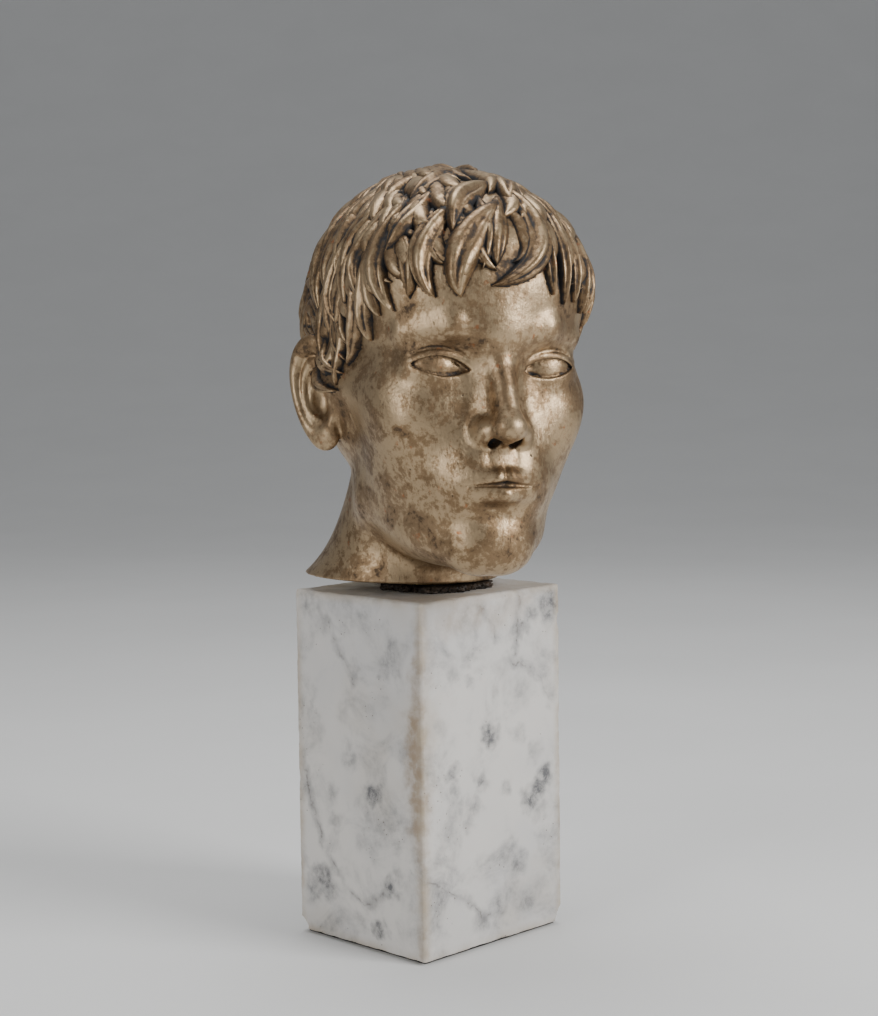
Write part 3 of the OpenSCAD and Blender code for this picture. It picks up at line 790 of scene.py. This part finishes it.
def veined_marble():
    """Off-white marble with soft grey clouds and thin veins, stained brown along its edges."""
    m = Paint("veined_marble")
    place = wandering(m, 190.0, 0.0105)
    grey = m.spread(m.noise(46, 6, 0.62, 0.5), 0.44, 0.80, 0.0, 0.6)
    for at, radius, depth in CLOUDS:
        far = m.node("VectorMath", {0: place, 1: Vector(at) * MM}, operation="DISTANCE")
        cloud = m.spread(far.outputs["Value"], 0.0, 1.8 * radius * MM, depth, 0.0)
        grey = m.sum("MAXIMUM", grey, cloud)
    grey = m.sum("MULTIPLY", grey, m.spread(m.noise(300, 5, 0.75), 0.34, 0.66, 0.65, 1.4))
    tone = m.mix(m.spread(m.noise(15, 4), 0.35, 0.7), (0.66, 0.63, 0.59), (0.565, 0.55, 0.535))
    tone = m.mix(m.spread(m.noise(20, 3), 0.50, 0.72, 0.0, 0.4), tone, (0.52, 0.46, 0.375))
    tone = m.mix(grey, tone, (0.120, 0.119, 0.124))
    near = 1.0
    winding = wandering(m, 170.0, 0.0085)
    for vein in VEINS:
        for start, end in zip(vein, vein[1:]):
            near = m.sum("MINIMUM", near, from_line(m, winding, start, end))
    broken = m.spread(m.noise(120, 3), 0.36, 0.58, 0.25, 1.0)
    tone = m.mix(m.sum("MULTIPLY", m.spread(near, 0.0, 0.0034, 0.5, 0.0), broken), tone, (0.17, 0.165, 0.165))
    tone = m.mix(m.sum("MULTIPLY", m.spread(near, 0.0001, 0.0008, 0.5, 0.0), broken), tone,
                 (0.115, 0.095, 0.085))
    blotch = m.spread(m.noise(150, 5, 0.7), 0.32, 0.68, 0.45, 1.0)
    for start, end, reach, strength in STAINS:
        far = from_line(m, place, start, end)
        stain = m.sum("MULTIPLY", m.spread(far, 0.0, reach * MM, strength, 0.0), blotch)
        tone = m.mix(stain, tone, (0.30, 0.215, 0.135))
    apart = m.node("SeparateXYZ", {0: m.places()})
    to_x = m.sum("SUBTRACT", BLOCK_HIGH.x, m.sum("ABSOLUTE", apart.outputs["X"], 0.0))
    to_y = m.sum("SUBTRACT", BLOCK_HIGH.y, m.sum("ABSOLUTE", apart.outputs["Y"], 0.0))
    edge = m.spread(m.sum("MAXIMUM", to_x, to_y), 0.0004, 0.0055, 0.9, 0.0)
    rim = m.spread(m.sum("SUBTRACT", BLOCK_HIGH.z, apart.outputs["Z"]), 0.0004, 0.0045, 0.7, 0.0)
    foot = m.spread(m.sum("SUBTRACT", apart.outputs["Z"], BLOCK_LOW.z), 0.0004, 0.0045, 0.7, 0.0)
    worn = m.sum("MAXIMUM", m.sum("MAXIMUM", edge, rim), foot)
    worn = m.sum("MULTIPLY", worn, m.spread(m.noise(60, 5, 0.68), 0.34, 0.66, 0.1, 0.75))
    tone = m.mix(worn, tone, (0.43, 0.345, 0.235))
    specks = m.node("TexVoronoi", {"Vector": m.places(), "Scale": 430.0}).outputs["Distance"]
    speck = m.sum("MULTIPLY", m.spread(specks, 0.07, 0.15, 0.9, 0.0), m.spread(m.noise(52, 2), 0.56, 0.64))
    tone = m.mix(speck, tone, (0.085, 0.055, 0.035))
    relief = m.bump(m.noise(420, 4, 0.6), 0.00012, 0.4)
    relief = m.bump(m.spread(speck, 0, 1, 1, 0), 0.00025, 0.7, relief)
    relief = m.bump(m.spread(near, 0.0, 0.0005, 0.0, 1.0), 0.0001, 0.4, relief)
    return m.set(Base_Color=tone, Roughness=m.spread(m.noise(130, 3), 0.3, 0.7, 0.34, 0.5),
                 Subsurface_Weight=0.08, Subsurface_Radius=(0.004, 0.0035, 0.003), Normal=relief)


def plain_paint(name, light, dark, metal, rough, grain, depth, stretch=(1, 1, 1)):
    """A finish of two tones in a grain of one size."""
    m = Paint(name)
    grains = m.noise(grain, 4, 0.6, 0.0, stretch)
    return m.set(Base_Color=m.mix(m.spread(grains, 0.3, 0.7), light, dark), Metallic=metal,
                 Roughness=m.spread(m.noise(grain * 0.4, 3), 0.3, 0.7, rough - 0.08, rough + 0.08),
                 Normal=m.bump(grains, depth, 0.7))


def dress(o, material):
    o.data.materials.clear()
    o.data.materials.append(material)


# ---------------------------------------------------------------- the head's pieces
SKIN_CELL = 1.1                           # life-size mm
HOLLOW_CELL = 3.5
SKIN_TRIANGLES = 160000


def hollow(p):
    """The hollow for the core, which runs out through the neck."""
    return -join(-np.maximum(scalp(p), face(p)) - WALL, p[:, 2] - NECK_CUT + 8, 0.5)


def core(p):
    inside = np.maximum(scalp(p), face(p)) + WALL + 0.9
    return np.maximum(inside, NECK_CUT + 0.6 - p[:, 2])


def outwards(o):
    work = bmesh.new()
    work.from_mesh(o.data)
    if work.calc_volume(signed=True) < 0:
        o.data.flip_normals()
    work.free()


def moulded(name, form, cell, most=None):
    points, quads = skin_of(form, cell)
    made = piece(name, placed(points), quads)
    outwards(made)
    triangles = sum(len(f.vertices) - 2 for f in made.data.polygons)
    if most and triangles > most:
        finish_with(made, "DECIMATE", ratio=most / triangles)
    return made


def head_pieces():
    head = moulded("cast_head", casting, SKIN_CELL, SKIN_TRIANGLES)
    cut_away(head, moulded("hollow", hollow, HOLLOW_CELL))
    head.data.shade_smooth()
    rings = [ring(*r, seed=20 + k) for k, r in enumerate(RINGS)]
    hair, hair_depth = hair_piece("combed_hair", rings + [whorl()])
    fringe, fringe_depth = hair_piece("fringe_locks", [fringe_locks()])
    open_head, open_hair, open_fringe = openness([head, hair, fringe])
    set_value(head, "hollow", np.clip(1.7 * (0.90 - open_head), 0, 1))
    for o, opening, depth in ((hair, open_hair, hair_depth), (fringe, open_fringe, fringe_depth)):
        set_value(o, "hollow", np.clip(0.75 * depth + 1.25 * (0.86 - opening), 0, 1))
    return head, hair, fringe, moulded("cast_plaster_core", core, 2.6)


# ---------------------------------------------------------------- assembly
bronze = aged_bronze()
marble = veined_marble()
plaster_paint = plain_paint("cast_plaster", (0.74, 0.69, 0.60), (0.58, 0.53, 0.45), 0.0, 0.85, 300, 0.0003)
filler_paint = plain_paint("dark_filler", (0.055, 0.036, 0.022), (0.010, 0.007, 0.005), 0.0, 0.62, 420,
                           0.0006)
# Near-black felt: a real sheet, but its dark tone is also painted shade for the shadow line under the block
felt_shadow_paint = plain_paint("felt_dark_as_painted_shade", (0.034, 0.032, 0.030), (0.012, 0.011, 0.010), 0.0, 0.95, 1500,
                         0.0003)
brass_paint = plain_paint("turned_brass", (0.66, 0.48, 0.22), (0.50, 0.35, 0.15), 1.0, 0.35, 60, 0.00004,
                          (1, 1, 60))
steel_paint = plain_paint("plated_steel", (0.60, 0.60, 0.61), (0.44, 0.44, 0.46), 1.0, 0.36, 260, 0.00005)
fibre_paint = plain_paint("red_fibre", (0.34, 0.075, 0.045), (0.22, 0.045, 0.03), 0.0, 0.7, 800, 0.00008)

head, hair, fringe, plaster = head_pieces()
for o in (head, hair, fringe):
    dress(o, bronze)
    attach(o, "head")
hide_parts("head_casting")
dress(plaster, plaster_paint)
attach(plaster, "head")
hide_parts("plaster_core")

block = marble_block()
dress(block, marble)
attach(block, "base")
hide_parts("marble_block")

filler = neck_filler()
dress(filler, filler_paint)
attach(filler, "head")
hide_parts("neck_filler")

for node, paint in {"felt_sheet": felt_shadow_paint, "spacer": brass_paint, "threaded_rod": steel_paint,
                    "anchor_plate": steel_paint, "anchor_nuts": steel_paint, "fibre_washer": fibre_paint,
                    "steel_washer": steel_paint, "spring_washer": steel_paint,
                    "clamp_nut": steel_paint}.items():
    dress(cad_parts[node], paint)


# ---------------------------------------------------------------- floor, light and camera
FLOOR_SIZE = 12                           # metres
WALL_HEIGHT = 8
SWEEP_RADIUS = 4.5                        # of the curve between the floor and the wall
SWEEP_STEPS = 32


def floor():
    """A pale floor that sweeps up into a wall behind the object."""
    bpy.ops.object.select_all(action="DESELECT")
    bpy.ops.mesh.primitive_plane_add(size=FLOOR_SIZE, rotation=(0, 0, math.radians(-45)))
    made = bpy.context.object
    made.name = "studio_floor"
    in_place(made)
    work = bmesh.new()
    work.from_mesh(made.data)
    rear = max(work.edges, key=lambda e: sum(v.co.x + v.co.y for v in e.verts))
    wall = bmesh.ops.extrude_edge_only(work, edges=[rear])["geom"]
    raised = [g for g in wall if isinstance(g, bmesh.types.BMVert)]
    bmesh.ops.translate(work, verts=raised, vec=(0, 0, WALL_HEIGHT))
    corner = [e for e in work.edges if len(e.link_faces) == 2]
    bmesh.ops.bevel(work, geom=corner, offset=SWEEP_RADIUS, segments=SWEEP_STEPS, profile=0.5,
                    affect="EDGES")
    work.to_mesh(made.data)
    work.free()
    made.data.shade_smooth()
    dress(made, plain_paint("pale_floor", (0.78, 0.78, 0.77), (0.76, 0.76, 0.75), 0.0, 0.6, 6, 0.00002))


def softbox(name, at, towards, size, watts):
    lamp = bpy.data.lights.new(name, "AREA")
    lamp.shape = "RECTANGLE"
    lamp.size, lamp.size_y = size
    lamp.energy = watts
    made = bpy.data.objects.new(name, lamp)
    bpy.context.scene.collection.objects.link(made)
    made.location = at
    made.rotation_euler = (Vector(towards) - Vector(at)).to_track_quat("-Z", "Y").to_euler()


def camera():
    """An eye 0.81 m from the rod, off the block's front left corner and a little above its top."""
    away, height = 0.807, 0.2397
    yaw, pitch, roll = math.radians(-45.36), math.radians(4.74), math.radians(-0.72)
    look = Vector((-math.sin(yaw) * math.cos(pitch), math.cos(yaw) * math.cos(pitch), -math.sin(pitch)))
    right = look.cross(Vector((0, 0, 1))).normalized()
    up = right.cross(look)
    level_right = right * math.cos(roll) + up * math.sin(roll)
    level_up = up * math.cos(roll) - right * math.sin(roll)
    lens = bpy.data.cameras.new("camera")
    lens.lens = 70.9
    lens.sensor_width = 36
    made = bpy.data.objects.new("camera", lens)
    bpy.context.scene.collection.objects.link(made)
    turn = Matrix((level_right, level_up, -look)).transposed().to_4x4()
    made.matrix_world = Matrix.Translation((-away * math.sqrt(0.5), -away * math.sqrt(0.5), height)) @ turn
    bpy.context.scene.camera = made


def studio():
    floor()
    middle = (0, 0, 0.2)
    softbox("key", (0.35, -1.3, 0.75), middle, (0.6, 0.8), 20)
    softbox("fill", (-1.5, 0.0, 0.6), middle, (0.6, 1.0), 8)
    softbox("top", (0.1, 0.2, 1.3), middle, (0.7, 0.7), 9)
    world = bpy.data.worlds.new("studio")
    world.use_nodes = True
    world.node_tree.nodes["Background"].inputs["Color"].default_value = (0.80, 0.82, 0.85, 1)
    world.node_tree.nodes["Background"].inputs["Strength"].default_value = 0.33
    bpy.context.scene.world = world


studio()
camera()
bpy.context.view_layer.update()
